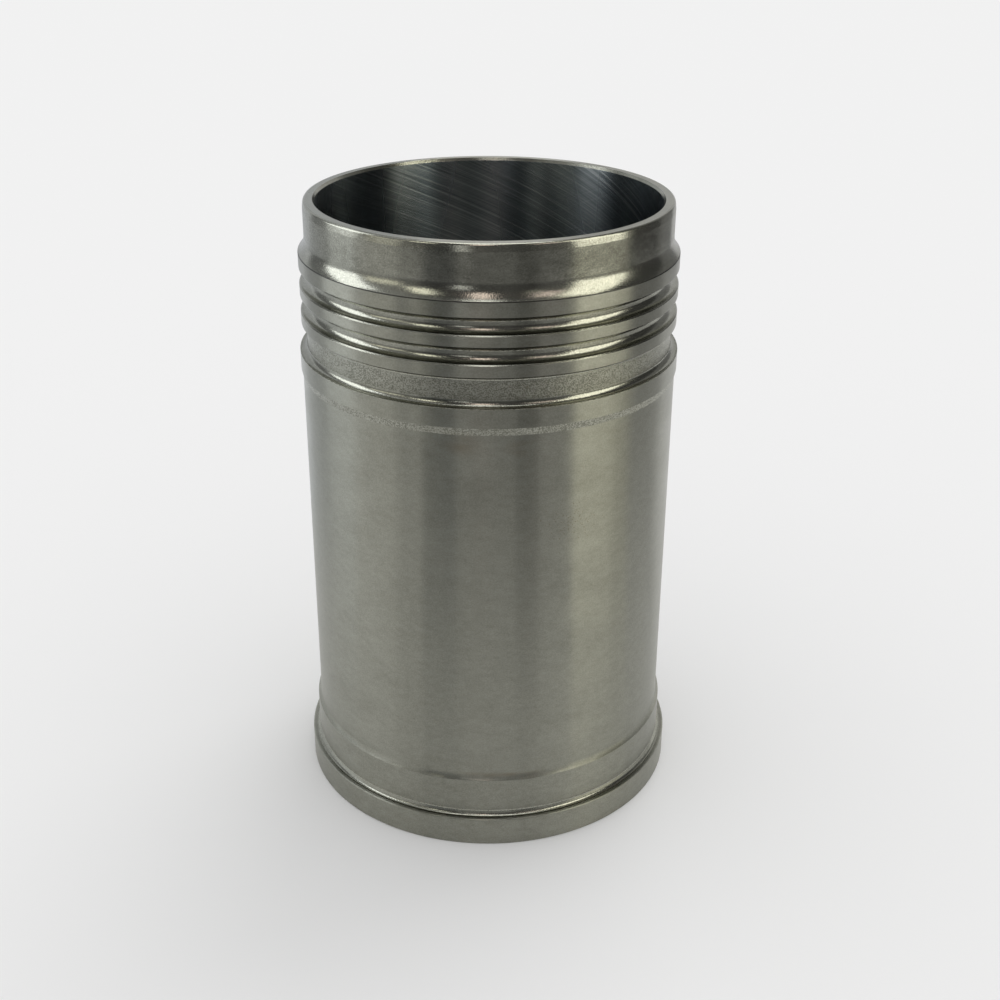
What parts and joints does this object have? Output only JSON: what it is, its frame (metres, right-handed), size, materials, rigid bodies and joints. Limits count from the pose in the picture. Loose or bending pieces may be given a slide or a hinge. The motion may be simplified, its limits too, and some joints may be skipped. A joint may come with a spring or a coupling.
{
  "type": "cylinder liner",
  "caption": "Wet cylinder liner: a straight bored iron sleeve with a flange at one end and ring-grooved sealing lands near the other.",
  "frame": {"origin": "centre of the flange's end face, on the axis of the bore, where the liner stands", "axes": "+Z along the bore, from the flange to the skirt end with the ring grooves; +X and +Y are free, because the liner is a body of revolution"},
  "size_m": [0.1242, 0.1242, 0.1954],
  "materials": {
    "machined_iron": "satin"
  },
  "bodies": {
    "root": {"cylinder_liner": "machined_iron"}
  },
  "joints": []
}
